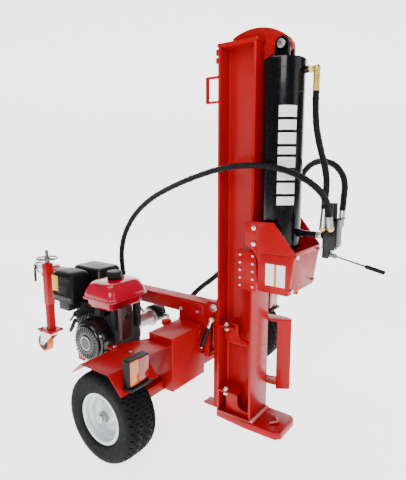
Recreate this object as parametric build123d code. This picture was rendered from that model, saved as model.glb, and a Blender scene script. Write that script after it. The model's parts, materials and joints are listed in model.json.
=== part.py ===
"""Towable log splitter with a vertical beam, built as separate named pieces.

Millimetres. +Z is up, +X is towards the person who loads a log, and the tongue
points along -X. The origin lies on the ground, under the middle of the beam's
working face.
"""
from build123d import *
import math
import os

os.makedirs("parts", exist_ok=True)

# ---------------------------------------------------------------- dimensions
# beam and foot
BEAM_DEPTH = 194
BEAM_HALF = 82
FLANGE = 12
WEB = 10
FOOT_THICK = 34
BEAM_TOP = 1783
CAP_THICK = 12
# hydraulic cylinder and ram
CYL_X = 92
CYL_R = 88.7
BORE_R = 75
ROD_R = 35
CYL_BOTTOM = 905
CYL_TOP = 1704
CLEVIS_PIN_Z = 1763
CARRIAGE_LOW = 700
CARRIAGE_HIGH = 885
# beam tilt pivot
PIVOT_X = -232
PIVOT_Z = 562
PIVOT_PIN_R = 15
LOCK_X = -225
LOCK_Z = 508
LOCK_TIP = -31
# tongue
TONGUE_HALF = 44
TONGUE_TOP = 569
TONGUE_LOW = 496
TONGUE_END = -280
TONGUE_NOSE = -1720
# wheels
AXLE_X = -396
WHEEL_Z = 203
TYRE_R = 203
WHEEL_MID = 599
SPINDLE_R = 12.5
RUN = 0.05
# engine and pump
CRANK_X = -700
CRANK_Z = 405
DECK_Z = 293
GRIP_TURN = 31.5
PUMP_Z = 420
# jack
JACK_X = -1532
JACK_Y = -116
CASTER_X = -1607
CASTER_R = 62
# valve
VALVE_X = 330
LEVER_X = 312
LEVER_Z = 896
# hoses
HOSE_D = 26


# hose routes: each list runs from the pump or tank, or the cylinder's port, to the valve
PRESSURE_LOWER = [
    (-790, -16, 436), (-790, -92, 512), (-810, -114, 640), (-822, -118, 750),
    (-808, -118, 850), (-758, -118, 948), (-676, -118, 1036), (-568, -118, 1108),
    (-440, -118, 1164), (-308, -118, 1210), (-168, -118, 1250), (-99, -118, 1259)]
PRESSURE_UPPER = [
    (-99, -118, 1259), (-30, -118, 1268), (100, -117, 1264),
    (212, -112, 1232), (294, -101, 1184), (337, -82, 1122), (341.4, -71.1, 1062)]
RETURN_LOWER = [
    (-506, -8, 402), (-506, 54, 452), (-498, 86, 524), (-463, 96, 565.25)]
RETURN_UPPER = [
    (-463, 96, 565.25), (-442, 102, 590), (-360, 116, 656), (-290, 124, 720), (-222, 130, 810),
    (-150, 133, 910), (-70, 136, 1000), (22, 136, 1082), (102, 130, 1172),
    (161, 118, 1263), (233, 100, 1290), (307, 84, 1267), (352, 72, 1205),
    (351, 66, 1128), (348.3, 64.2, 1076)]
CYLINDER_ROUTE = [
    (236, 0, 1566), (236, 0, 1512), (242, -5, 1446), (256, -12, 1382), (276, -20, 1320),
    (298, -28, 1262), (312, -36, 1206), (314, -48, 1150), (313.1, -54, 1090)]
PRESSURE_ROUTE = PRESSURE_LOWER[:-1] + PRESSURE_UPPER[1:]
RETURN_ROUTE = RETURN_LOWER[:-1] + RETURN_UPPER[1:]


# ------------------------------------------------------------------- helpers
def box(x0, x1, y0, y1, z0, z1):
    """Box between two corners."""
    size = Box(x1 - x0, y1 - y0, z1 - z0)
    return Pos((x0 + x1) / 2, (y0 + y1) / 2, (z0 + z1) / 2) * size


def rod_x(y, z, radius, x0, x1):
    return Pos((x0 + x1) / 2, y, z) * Rot(0, 90, 0) * Cylinder(radius, x1 - x0)


def rod_y(x, z, radius, y0, y1):
    return Pos(x, (y0 + y1) / 2, z) * Rot(90, 0, 0) * Cylinder(radius, y1 - y0)


def rod_z(x, y, radius, z0, z1):
    return Pos(x, y, (z0 + z1) / 2) * Cylinder(radius, z1 - z0)


def rod_between(start, end, radius):
    """Round bar from one point to another."""
    a = Vector(*start)
    b = Vector(*end)
    place = Plane(origin=(a + b) / 2, z_dir=(b - a).normalized())
    return place * Cylinder(radius, (b - a).length)


def prism_y(points, y0, y1):
    """Side outline given as (x, z), extruded from y0 to y1."""
    line = Polyline(*[(x, y0, z) for x, z in points], close=True)
    return extrude(make_face(line), amount=y1 - y0, dir=(0, 1, 0))


def prism_x(points, x0, x1):
    """Front outline given as (y, z), extruded from x0 to x1."""
    line = Polyline(*[(x0, y, z) for y, z in points], close=True)
    return extrude(make_face(line), amount=x1 - x0, dir=(1, 0, 0))


def prism_z(points, z0, z1):
    """Plan outline given as (x, y), extruded from z0 to z1."""
    line = Polyline(*[(x, y, z0) for x, y in points], close=True)
    return extrude(make_face(line), amount=z1 - z0, dir=(0, 0, 1))


def hex_y(x, z, across, y0, y1):
    """Hexagon head lying along Y."""
    r = across / math.sqrt(3)
    corners = [(x + r * math.cos(math.radians(a)), z + r * math.sin(math.radians(a)))
               for a in range(0, 360, 60)]
    return prism_y(corners, y0, y1)


def hex_x(y, z, across, x0, x1):
    r = across / math.sqrt(3)
    corners = [(y + r * math.cos(math.radians(a)), z + r * math.sin(math.radians(a)))
               for a in range(0, 360, 60)]
    return prism_x(corners, x0, x1)


def hex_z(x, y, across, z0, z1):
    r = across / math.sqrt(3)
    corners = [(x + r * math.cos(math.radians(a)), y + r * math.sin(math.radians(a)))
               for a in range(0, 360, 60)]
    return prism_z(corners, z0, z1)


def mirror_y(shape):
    return mirror(shape, about=Plane.XZ)


def both_sides(shape):
    return shape + mirror_y(shape)


def soften(shape, radius, axis):
    """Round the edges of a shape that run along one axis."""
    return fillet(shape.edges().filter_by(axis), radius)


def round_y(shape, x, z, radius):
    """Round the edge along Y that passes through one point (x, z)."""
    edges = [e for e in shape.edges().filter_by(Axis.Y)
             if abs(e.center().X - x) < 0.1 and abs(e.center().Z - z) < 0.1]
    return fillet(edges, radius)


def save(name, *shapes):
    """One STEP file for one named piece or group of identical pieces."""
    solids = []
    for shape in shapes:
        solids.extend(shape.solids())
    whole = solids[0] if len(solids) == 1 else Compound(children=solids)
    export_step(whole, f"parts/{name}.step")


# --------------------------------------------------------------------- beam
def beam():
    top = BEAM_TOP
    web = box(-BEAM_DEPTH + FLANGE, -FLANGE, -WEB / 2, WEB / 2, FOOT_THICK, top)
    front = box(-FLANGE, 0, -BEAM_HALF, BEAM_HALF, FOOT_THICK, top)
    rear = box(-BEAM_DEPTH, -BEAM_DEPTH + FLANGE, -BEAM_HALF, BEAM_HALF, FOOT_THICK, top)
    shape = web + front + rear
    roots = [e for e in shape.edges().filter_by(Axis.Z)
             if abs(abs(e.center().Y) - WEB / 2) < 0.1]
    shape = fillet(roots, 9)
    cap = box(-200, 6, -86, 86, top, top + CAP_THICK)
    shape += soften(cap, 8, Axis.Z)
    shape += top_lug() + tilt_post() + guard_brackets()
    shape += log_bracket(510) + mirror_y(log_bracket(495)) + both_sides(low_bracket())
    shape += hand_loop() + rear_tabs()
    return shape


def top_lug():
    """Arched plate over the beam that carries the cylinder's clevis pin."""
    deck = BEAM_TOP + CAP_THICK
    y = 14
    outline = [
        Line((-160, -y, deck), (-160, -y, 1826)),
        ThreePointArc((-160, -y, 1826), (-22, -y, 1851), (118, -y, 1788)),
        Line((118, -y, 1788), (127, -y, CLEVIS_PIN_Z)),
        ThreePointArc((127, -y, CLEVIS_PIN_Z), (CYL_X, -y, 1728), (62, -y, 1742)),
        Line((62, -y, 1742), (0, -y, 1712)),
        Line((0, -y, 1712), (0, -y, deck)),
        Line((0, -y, deck), (-160, -y, deck)),
    ]
    lug = extrude(make_face(Curve() + outline), amount=2 * y, dir=(0, 1, 0))
    return lug - rod_y(CYL_X, CLEVIS_PIN_Z, 16, -y - 1, y + 1)


def tilt_post():
    """Channel up the back of the beam, with the bore that the beam tilts on."""
    back = -BEAM_DEPTH
    post = box(-250, back, -30, 30, 16, PIVOT_Z)
    post += rod_y(PIVOT_X, PIVOT_Z, 30, -43, 43)
    post += box(PIVOT_X, back, -43, 43, PIVOT_Z - 25, PIVOT_Z + 25)
    post -= box(-240, back - 6, -22, 22, 10, 440)
    post += box(-314, back, -32, 32, 8, 16)
    post -= rod_y(PIVOT_X, PIVOT_Z, PIVOT_PIN_R + RUN, -60, 60)
    post -= rod_y(LOCK_X, LOCK_Z, 9 + RUN, -60, 60)
    return post


def log_bracket(leg_top):
    """L plate and bolt plate between the flanges, for the catcher's upper arm."""
    leg = prism_y([(-158, leg_top), (-158, 403), (-FLANGE, 409), (-FLANGE, 433),
                   (-84, 433), (-84, leg_top)], -64, -54)
    leg = round_y(round_y(leg, -84, 433, 38), -158, 403, 44)
    seat = box(-184, -96, -92, -WEB / 2, 486, 496)
    return leg + seat - rod_z(-140, -79, 8, 480, 500)


def low_bracket():
    leg = prism_y([(-152, 150), (-152, FOOT_THICK), (-FLANGE, FOOT_THICK), (-FLANGE, 66),
                   (-84, 66), (-84, 150)], -64, -54)
    leg = round_y(leg, -84, 66, 38)
    seat = box(-184, -78, -92, -WEB / 2, 148, 158)
    return leg + seat - rod_z(-140, -79, 8, 140, 170)


def guard_brackets():
    ear = box(-12, 0, BEAM_HALF, 133, 915, 1020) + box(-12, 62, 123, 133, 915, 1020)
    for z in (930, 1000):
        ear -= rod_y(38, z, 6.5, 110, 140)
    return both_sides(ear)


def hand_loop():
    """Flat-bar loop on the rear flange, used to pull the beam upright."""
    y0, y1 = -82, -66
    loop = box(-262, -194, y0, y1, 1544, 1662)
    loop -= box(-252, -190, y0 - 1, y1 + 1, 1554, 1652)
    return loop


def rear_tabs():
    tabs = box(-206, -194, -82, -62, 1714, 1738)
    return tabs + box(-206, -194, -82, -62, 1748, 1772)


def foot_plate():
    outline = [(-194, -84), (-30, -96), (138, -92), (160, -70), (160, 70), (138, 92),
               (-30, 96), (-194, 84)]
    plate = prism_z(outline, 0, FOOT_THICK)
    corners = [e for e in plate.edges().filter_by(Axis.Z) if e.center().X > 100]
    plate = fillet(corners, 14)
    tooth_a = prism_z([(84, 26), (90, 32), (122, -8), (114, -10)], FOOT_THICK, FOOT_THICK + 9)
    tooth_b = prism_z([(84, -40), (82, -32), (114, -4), (122, -10)], FOOT_THICK, FOOT_THICK + 9)
    return plate + tooth_a + tooth_b


def log_catcher():
    """Two flat arms and an angled plate on the far side that stop split logs from falling."""
    arm = [(-182, 20), (-104, 20), (-104, 102), (28, 105), (38, 111), (97, 149),
           (90, 166), (63, 177), (13, 178), (-182, 130)]
    upper = prism_z(arm, 496, 508)
    lower = prism_z(arm, 158, 170)
    face = prism_z([(38, 111), (97, 149), (91.6, 157.4), (32.6, 119.4)], 137, 496)
    return upper + face + lower - rod_z(-140, 79, 8, 150, 520)


def log_guard():
    """Sheet cage round the retracted wedge, bolted to ears on the beam."""
    side = [(2, 1026), (128, 1028), (228, 908), (200, 719), (60, 722), (60, 846),
            (48, 882), (24, 904), (2, 912)]
    near = prism_y(side, -139, -133)
    for z in (930, 1000):
        near -= rod_y(38, z, 6.5, -145, -125)
    front = prism_y([(224, 908), (230, 908), (202, 719), (196, 719)], -133, 133)
    pad = prism_y([(72, 890), (218, 890), (196, 726), (72, 726)], -142, -139)
    shell = near + mirror_y(near) + front + both_sides(pad)
    for y in (-120, 120):
        for x, z in ((225, 888), (203, 740)):
            shell -= rod_x(y, z, 5.2, x - 14, x + 14)
    return shell


# ----------------------------------------------------------------- cylinder
def cylinder_barrel():
    barrel = rod_z(CYL_X, 0, CYL_R, CYL_BOTTOM, CYL_TOP)
    barrel += rod_z(CYL_X, 0, CYL_R + 2.5, 1662, CYL_TOP)
    for z in (1568, 1014):
        barrel += rod_z(CYL_X, 0, CYL_R + 0.8, z, z + 5)
    barrel -= rod_z(CYL_X, 0, BORE_R, CYL_BOTTOM - 1, 1674)
    ear = box(CYL_X - 32, CYL_X + 32, 15, 33, CYL_TOP, CLEVIS_PIN_Z)
    ear += rod_y(CYL_X, CLEVIS_PIN_Z, 32, 15, 33)
    ear -= rod_y(CYL_X, CLEVIS_PIN_Z, 16, 10, 40)
    barrel += both_sides(ear)
    wall = CYL_X + CYL_R - 3
    for z, radius in ((1655, 15), (973, 17)):
        barrel += rod_x(0, z, radius, wall, 200)
        barrel -= rod_x(0, z, 8, CYL_X + BORE_R - 10, 201)
    return barrel


def cylinder_head():
    """Gland that guides the rod, with its flange under the barrel."""
    head = rod_z(CYL_X, 0, BORE_R, CYL_BOTTOM, 950) + rod_z(CYL_X, 0, CYL_R, 896, CYL_BOTTOM)
    return head - rod_z(CYL_X, 0, ROD_R + RUN, 890, 960)


def piston():
    disc = rod_z(CYL_X, 0, BORE_R - RUN, 1636, 1673)
    disc -= rod_z(CYL_X, 0, 24, 1630, 1680)
    return disc


def ram_rod():
    return rod_z(CYL_X, 0, ROD_R, CARRIAGE_HIGH, 1636) + rod_z(CYL_X, 0, 24, 1636, 1668)


def clevis_pin():
    pin = rod_y(CYL_X, CLEVIS_PIN_Z, 16, -41, 46)
    pin += rod_y(CYL_X, CLEVIS_PIN_Z, 18, -44, -33.2)
    return pin + rod_y(CYL_X, CLEVIS_PIN_Z, 18, 37, 44)


def wedge():
    """Sliding block that wraps the front flange, with the blade in front."""
    low, high = CARRIAGE_LOW, CARRIAGE_HIGH
    block = box(0.6, 26, -96, 96, low, high)
    block += box(-70, 26, 83, 96, low, high) + box(-70, 26, -96, -83, low, high)
    blade = prism_x([(-24, high), (24, high), (24, 800), (3, 692), (-3, 692), (-24, 800)], 26, 188)
    return block + blade


def gib_bars():
    """Keeper bars that run behind the front flange."""
    return both_sides(box(-70, -12.8, 68, 83, CARRIAGE_LOW, CARRIAGE_HIGH))


def carriage_bolts():
    heads = []
    for x in (-57, 9):
        for step in range(5):
            z = CARRIAGE_LOW + 20 + step * 36
            head = hex_y(x, z, 11, -101, -96)
            heads.append(head)
            heads.append(mirror_y(head))
    return heads


# -------------------------------------------------------------------- valve
def valve_body():
    body = box(301, 356, -35, 35, 924, 1036)
    body = soften(body, 6, Axis.Z)
    body += rod_x(0, 973, 15, 288, 303)
    body += rod_y(326, 978, 17, -43, -33)
    body += rod_z(VALVE_X, 0, 19, 1034, 1112)
    body += rod_z(VALVE_X, 0, 15, 914, 926)
    body += box(356, 362, -30, 30, 930, 1050) + box(356, 376, -30, 30, 1046, 1052)
    ear = box(298, 326, 13, 18, 878, 922) + box(298, 350, 13, 18, 914, 926)
    body += both_sides(ear)
    body -= rod_z(VALVE_X, 0, 9 + RUN, 900, 1100)
    body += rod_y(LEVER_X, LEVER_Z, 4, -18, 18)
    return body


def valve_spool():
    return rod_z(VALVE_X, 0, 9, 918, 1078) + rod_z(VALVE_X, 0, 5.5, 890, 918)


def valve_lever():
    """Fork on the pivot pin, thin rod and grip, sloping down towards the front."""
    cheek = box(LEVER_X - 8, LEVER_X + 44, 7, 11, LEVER_Z - 7, LEVER_Z + 7)
    cheek -= rod_y(LEVER_X, LEVER_Z, 4 + RUN, 0, 20)
    lever = both_sides(cheek)
    lever += box(LEVER_X + 36, LEVER_X + 44, -11, 11, LEVER_Z - 7, LEVER_Z + 7)
    lever += rod_x(0, LEVER_Z, 4, LEVER_X + 40, LEVER_X + 200)
    lever += rod_x(0, LEVER_Z, 7.5, LEVER_X + 168, LEVER_X + 244)
    return Pos(LEVER_X, 0, LEVER_Z) * Rot(0, 12, 0) * Pos(-LEVER_X, 0, -LEVER_Z) * lever


def feed_pipe():
    """Pipe and union from the lower cylinder port to the valve."""
    return rod_x(0, 973, 13.5, 200, 264) + hex_x(0, 973, 27, 264, 288)


def crimp(elbow, route_end, radius=13.2):
    """Swaged sleeve from an elbow to the end of a hose, face to face with it."""
    return Pos(*elbow) * Sphere(radius + 1.5) + rod_between(elbow, route_end, radius)


def hose_fittings():
    """Elbows and crimped ends on the cylinder's upper port and on the valve."""
    top = rod_x(0, 1655, 11, 200, 236) + hex_x(0, 1655, 26, 204, 218)
    top += crimp((236, 0, 1655), CYLINDER_ROUTE[0])
    ends = [top]
    for x, y, route in ((312, -62, CYLINDER_ROUTE), (345, -62, PRESSURE_ROUTE),
                        (345, 62, RETURN_ROUTE)):
        side = 1 if y > 0 else -1
        near, far = sorted((side * 35, y))
        elbow = rod_y(x, 1012, 10, near, far) + crimp((x, y, 1012), route[-1])
        ends.append(elbow)
    return ends


# ------------------------------------------------------------------- chassis
def tongue():
    half = TONGUE_HALF
    tube = box(TONGUE_NOSE, TONGUE_END, -half, half, TONGUE_LOW, TONGUE_TOP)
    tube = soften(tube, 8, Axis.X)
    tube -= box(TONGUE_NOSE - 1, TONGUE_END - 8, -half + 6, half - 6,
                TONGUE_LOW + 6, TONGUE_TOP - 6)
    cheek = prism_y([(-290, 566), (-290, 290), (-262, 290), (-262, 474), (-202, 474),
                     (-202, PIVOT_Z), (-211, 583), (-232, 592), (-262, 592)], half, half + 10)
    cheek -= rod_y(PIVOT_X, PIVOT_Z, PIVOT_PIN_R, half - 5, half + 20)
    cheek -= rod_y(LOCK_X, LOCK_Z, 9 + RUN, half - 5, half + 20)
    tube += both_sides(cheek)
    tube += box(-305, -262, -half, half, 290, 300) + box(-305, -297, -half, half, 290, 496)
    arm = box(-1560, -1502, JACK_Y + 26, -half, 506, 560)
    return tube + arm


def pivot_pin():
    pin = rod_y(PIVOT_X, PIVOT_Z, PIVOT_PIN_R, -66, 62)
    return pin + rod_y(PIVOT_X, PIVOT_Z, 20, -62, -54) + rod_y(PIVOT_X, PIVOT_Z, 20, 54, 60)


def lock_pin():
    """Pull pin for the upright beam, drawn back at rest so that the beam is free."""
    pin = rod_y(LOCK_X, LOCK_Z, 9, -92, LOCK_TIP)
    pin += rod_y(LOCK_X, LOCK_Z, 13, -87, -81)
    pin += Pos(LOCK_X, -90, LOCK_Z) * Sphere(11)
    pin += rod_between((LOCK_X, -90, LOCK_Z), (-240, -90, 470), 8)
    return pin + rod_between((-238, -90, 476), (-286, -90, 352), 10)


def coupler_body():
    """Ball coupler: a channel over the tongue's nose and a hollow ball housing."""
    nose = TONGUE_NOSE
    cover = box(nose - 40, nose + 90, -50, 50, 520, 577)
    cover -= box(nose, nose + 95, -TONGUE_HALF, TONGUE_HALF, 490, TONGUE_TOP)
    cover -= box(nose - 30, nose + 1, -40, 40, 490, 566)
    ball = Pos(nose - 88, 0, 545) * Sphere(42) + box(nose - 88, nose - 36, -34, 34, 530, 577)
    cover += ball
    cover -= Pos(nose - 88, 0, 538) * Sphere(26)
    cover -= rod_z(nose - 88, 0, 26, 480, 538)
    cover -= box(nose - 88, nose - 30, -14, 14, 480, 530)
    return cover + rod_y(nose - 60, 560, 6, -58, -20)


def coupler_latch():
    nose = TONGUE_NOSE
    lever = rod_y(nose - 60, 560, 11, -56, -46)
    lever += box(nose - 70, nose - 50, -56, -50, 470, 562) + rod_z(nose - 60, -53, 9, 452, 516)
    return lever - rod_y(nose - 60, 560, 6 + RUN, -60, -40)


def hydraulic_tank():
    x0, x1, y0, y1 = -462, -309, -290, -30
    z0, z1 = 185, 455
    wall = 4
    notch = box(-422.5, -369.5, y0 - 1, y1 + 1, z0 - 1, 229)
    shell = soften(box(x0, x1, y0, y1, z0, z1), 5, Axis.Z) - notch
    inside = box(x0 + wall, x1 - wall, y0 + wall, y1 - wall, z0 + wall, z1 - wall)
    inside -= box(-427, -365, y0, y1, z0, 233)
    shell -= inside
    hanger = box(x0, -296, -50, -TONGUE_HALF, z1, 562)
    for x in (-445, -339):
        hanger -= rod_y(x, 518, 6.5, -60, -40)
    neck = rod_x(-120, 400, 15, -492, x0 + 2) + Pos(-492, -120, 400) * Sphere(17)
    neck += rod_z(-492, -120, 17, 400, 440) + rod_z(-492, -120, 26, 440, 462)
    return shell + hanger + neck


def axle():
    beam_tube = box(AXLE_X - 25, AXLE_X + 25, -500, 500, 178, 228)
    spindle = rod_y(AXLE_X, WHEEL_Z, SPINDLE_R, -668, -500) + rod_y(AXLE_X, WHEEL_Z, 24, -520, -500)
    post = box(AXLE_X - 25, AXLE_X + 25, -488, -440, 228, 421)
    return beam_tube + both_sides(spindle) + both_sides(post)


def axle_nuts():
    nut = hex_y(AXLE_X, WHEEL_Z, 34, -672, -658) - rod_y(AXLE_X, WHEEL_Z, SPINDLE_R, -680, -650)
    return [nut, mirror_y(nut)]


def fenders():
    """Three-panel mudguards, each with the flat plate that carries it."""
    outline = [(-560, 372), (-495, 430), (-319, 430), (-247, 357), (-249.2, 354.9),
               (-320.2, 427), (-493.9, 427), (-558, 369.8)]
    near = prism_y(outline, -680, -460)
    near -= prism_z([(-600, -690), (-488, -690), (-560, -615), (-600, -615)], 425.5, 440)
    near += prism_z([(-549, -490), (-455, -290), (-309, -290), (-330, -490)], 421, 427)
    far = prism_y(outline, 460, 680) + box(-520, -330, 438, 500, 421, 427)
    return [near, far]


def light_housing():
    shell = box(-266, -229, -649, -534, 387, 501)
    shell = soften(shell, 5, Axis.X) - box(-260, -220, -645, -538, 391, 497)
    tray = box(-264, -214, -655, -532, 375, 387)
    return shell + tray


def light_lens(y0, y1):
    return box(-259, -225, y0, y1, 391.5, 496.5)


def jack_outer_tube():
    tube = box(JACK_X - 26, JACK_X + 26, JACK_Y - 26, JACK_Y + 26, 350, 629)
    tube = soften(tube, 5, Axis.Z)
    tube -= box(JACK_X - 22.5, JACK_X + 22.5, JACK_Y - 22.5, JACK_Y + 22.5, 340, 621)
    return tube - rod_z(JACK_X, JACK_Y, 10.5, 600, 640)


def jack_inner_tube():
    """Sliding tube with the screw's nut in its top and the caster plate below."""
    tube = box(JACK_X - 22, JACK_X + 22, JACK_Y - 22, JACK_Y + 22, 172, 612)
    tube = soften(tube, 4, Axis.Z)
    tube -= box(JACK_X - 18, JACK_X + 18, JACK_Y - 18, JACK_Y + 18, 180, 580)
    tube -= rod_z(JACK_X, JACK_Y, 10.5, 570, 620)
    plate = soften(box(JACK_X - 64, JACK_X + 64, JACK_Y - 54, JACK_Y + 54, 163, 172), 6, Axis.Z)
    shape = tube + plate
    for dx in (-50, 50):
        for dy in (-40, 40):
            shape += hex_z(JACK_X + dx, JACK_Y + dy, 15, 172, 180)
    return shape


def jack_screw():
    """Threaded rod with the three-spoke handwheel."""
    wheel_z = 662
    shape = rod_z(JACK_X, JACK_Y, 10, 215, 716) + rod_z(JACK_X, JACK_Y, 17, 632, 672)
    shape += Pos(JACK_X, JACK_Y, wheel_z) * Torus(65, 5)
    for turn in (20, 140, 260):
        dx = 65 * math.cos(math.radians(turn))
        dy = 65 * math.sin(math.radians(turn))
        shape += rod_between((JACK_X, JACK_Y, wheel_z), (JACK_X + dx, JACK_Y + dy, wheel_z), 4)
    return shape


def caster_fork():
    """Swivel head and two fork plates, trailing towards the coupler."""
    shape = rod_z(JACK_X, JACK_Y, 32, 146, 162.5)
    shape += box(JACK_X - 66, JACK_X + 34, JACK_Y - 30, JACK_Y + 30, 138, 146)
    cheek = prism_y([(JACK_X + 30, 140), (JACK_X - 80, 140), (JACK_X - 84, 118), (CASTER_X - 18, 70),
                     (CASTER_X - 10, 48), (CASTER_X + 12, 48), (JACK_X + 22, 124)],
                    JACK_Y - 30, JACK_Y - 25)
    other = Pos(0, 55, 0) * cheek
    shape += cheek + other
    bolt = rod_y(CASTER_X, CASTER_R, 5, JACK_Y - 36, JACK_Y + 36)
    bolt += hex_y(CASTER_X, CASTER_R, 16, JACK_Y - 37, JACK_Y - 30)
    return shape + bolt + hex_y(CASTER_X, CASTER_R, 16, JACK_Y + 30, JACK_Y + 37)


def caster_wheel():
    wheel = rod_y(CASTER_X, CASTER_R, 48, JACK_Y - 21, JACK_Y + 21)
    return wheel - rod_y(CASTER_X, CASTER_R, 5 + RUN, JACK_Y - 30, JACK_Y + 30)


def caster_tread():
    ring = rod_y(CASTER_X, CASTER_R, CASTER_R, JACK_Y - 22, JACK_Y + 22)
    ring = fillet(ring.edges(), 7)
    return ring - rod_y(CASTER_X, CASTER_R, 48, JACK_Y - 30, JACK_Y + 30)


def caster_pedal():
    """Brake pedal on the fork's tail."""
    x = JACK_X - 70
    pedal = rod_y(x, 132, 5, JACK_Y - 24, JACK_Y + 24)
    pedal += prism_y([(x, 128), (x - 6, 137), (x - 62, 152), (x - 64, 146), (x - 14, 128)],
                     JACK_Y - 22, JACK_Y + 22)
    return pedal


# -------------------------------------------------------------------- wheels
def tyre():
    """Turf tyre section turned about the axle."""
    outer = [(66, 114), (76, 135), (80, 165), (76, 186), (64, 198), (40, 202), (0, TYRE_R)]
    inner = [(0, 192), (40, 191), (60, 184), (68, 168), (66, 140), (52, 116), (48, 100)]
    half = [(66, 100)] + outer
    right = half + inner
    line = Polyline(*[(AXLE_X + r, -WHEEL_MID - y, WHEEL_Z) for y, r in right], close=True)
    side = revolve(make_face(line), Axis((AXLE_X, 0, WHEEL_Z), (0, 1, 0)))
    return side + mirror(side, about=Plane.XZ.offset(WHEEL_MID))


def rim():
    mid = -WHEEL_MID
    seat = rod_y(AXLE_X, WHEEL_Z, 100, mid - 66, mid + 66) - rod_y(AXLE_X, WHEEL_Z, 97, -700, -400)
    for y in (mid - 69.5, mid + 66.0):
        lip = rod_y(AXLE_X, WHEEL_Z, 114, y, y + 3.5) - rod_y(AXLE_X, WHEEL_Z, 97, -700, -400)
        seat += lip
    disc = rod_y(AXLE_X, WHEEL_Z, 98, mid - 22, mid - 17)
    hub = rod_y(AXLE_X, WHEEL_Z, 26, mid - 54, mid + 40)
    return seat + disc + hub - rod_y(AXLE_X, WHEEL_Z, SPINDLE_R + RUN, -700, -400)


# -------------------------------------------------------------------- engine
def engine_frame():
    deck = box(-900, -560, -396, -196, DECK_Z - 8, DECK_Z)
    rails = box(-618, -568, -390, 40, 235, 285) + box(-892, -842, -390, 40, 235, 285)
    rails += box(-842, -462, -300, -250, 235, 285)
    hanger = box(-892, -842, 34, 40, 285, TONGUE_LOW)
    return deck + rails + both_sides(hanger)


def engine_block():
    """Crankcase, inclined finned cylinder with its head, and the tank posts."""
    case = soften(box(-800, -610, -396, -200, DECK_Z, 500), 18, Axis.Y)
    case += box(-830, -580, -390, -210, DECK_Z, DECK_Z + 16)
    barrel = Rot(0, 28, 0) * box(-215, -60, -66, 66, -58, 58)
    for step in range(8):
        x = -207 + step * 17
        barrel += Rot(0, 28, 0) * box(x, x + 5, -86, 86, -80, 80)
    barrel += Rot(0, 28, 0) * box(-240, -212, -70, 70, -66, 66)
    case += Pos(CRANK_X, -292, CRANK_Z) * barrel
    case += box(-740, -700, -390, -360, 490, 574) + box(-620, -590, -390, -360, 440, 574)
    case += box(-740, -700, -240, -210, 490, 574) + box(-620, -590, -240, -210, 440, 574)
    case += box(-960, -880, -440, -330, 520, 560) + box(-960, -880, -240, -170, 520, 610)
    case += box(-620, -540, -396, -350, 440, 470) + box(-832, -798, -452, -374, 508, 532)
    case -= box(-1013, -820, -452, -316, 559.8, 730)
    case -= rod_y(CRANK_X, CRANK_Z, 62, -370, -230)
    case -= rod_y(CRANK_X, CRANK_Z, 17.5 + RUN, -420, -180)
    return case


def recoil_housing():
    shell = rod_y(CRANK_X, CRANK_Z, 112, -470, -396)
    shell += rod_y(CRANK_X, CRANK_Z, 92, -486, -470)
    shell = fillet(shell.edges().filter_by(GeomType.CIRCLE).sort_by(Axis.Y)[0], 8)
    shell -= rod_y(CRANK_X, CRANK_Z, 104, -466, -390)
    shell -= rod_y(CRANK_X, CRANK_Z, 40, -482, -460)
    return shell


def crankshaft():
    """Crank with its flywheel at the starter end and the bare shaft at the pump end."""
    shaft = rod_y(CRANK_X, CRANK_Z, 17.5, -450, -150)
    shaft += rod_y(CRANK_X, CRANK_Z, 96, -448, -404)
    shaft += rod_y(CRANK_X, CRANK_Z, 50, -340, -322) + rod_y(CRANK_X, CRANK_Z, 50, -280, -262)
    shaft += rod_y(CRANK_X, CRANK_Z, 24, -150, -62) + rod_y(CRANK_X, CRANK_Z, 8, -62, 40)
    return shaft + rod_y(CRANK_X, CRANK_Z, 17.8, 6, 34)


def pump_adapter():
    tube = rod_y(CRANK_X, CRANK_Z, 36, -190, -16) + rod_y(CRANK_X, CRANK_Z, 72, -200, -190)
    tube += rod_y(CRANK_X, CRANK_Z, 50, -24, -16)
    return tube - rod_y(CRANK_X, CRANK_Z, 26, -210, -10)


def pump_body():
    body = rod_y(CRANK_X, PUMP_Z, 50, -16, 56)
    body -= rod_y(CRANK_X, CRANK_Z, 18.1, 5.8, 34.2)
    body -= rod_y(CRANK_X, CRANK_Z, 8 + RUN, -20, 45)
    body += rod_x(20, 400, 14, CRANK_X - 64, CRANK_X - 42)
    body += rod_x(20, PUMP_Z, 17, CRANK_X + 46, CRANK_X + 62)
    body -= rod_x(20, 400, 7, CRANK_X - 70, CRANK_X)
    return body - rod_x(20, PUMP_Z, 9, CRANK_X, CRANK_X + 70)


def pump_fittings():
    """Pressure elbow, steel suction pipe and the tank's return elbow."""
    outlet = hex_x(20, 400, 24, CRANK_X - 80, CRANK_X - 64) + rod_x(20, 400, 11, -790, CRANK_X - 80)
    outlet += crimp((-790, 20, 400), PRESSURE_ROUTE[0])
    suction = [(CRANK_X + 62, 20, PUMP_Z), (-606, 20, PUMP_Z), (-606, 20, 312),
               (-606, -150, 312), (-462, -150, 312)]
    pipe = rod_between(suction[0], suction[1], 11)
    for start, end in zip(suction[1:], suction[2:]):
        pipe += Pos(*start) * Sphere(12.5) + rod_between(start, end, 11)
    back = rod_x(-48, 372, 10, -506, -462) + hex_x(-48, 372, 24, -484, -470)
    back += crimp((-506, -48, 372), RETURN_ROUTE[0])
    return [outlet, pipe, back]


def fuel_tank():
    low = box(-748, -562, -436, -207, 574, 620)
    low = fillet(low.edges().filter_by(Axis.Z), 18)
    lip = soften(box(-763, -547, -451, -192, 619, 627), 20, Axis.Z)
    top = box(-755, -555, -443, -200, 627, 705)
    top = fillet(top.edges().filter_by(Axis.Z), 22)
    top = fillet(top.faces().sort_by(Axis.Z)[-1].edges(), 20)
    shape = low + lip + top
    inside = box(-744, -566, -432, -211, 578, 680)
    shape -= inside
    return shape - rod_z(-655, -322, 24, 670, 720)


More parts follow.
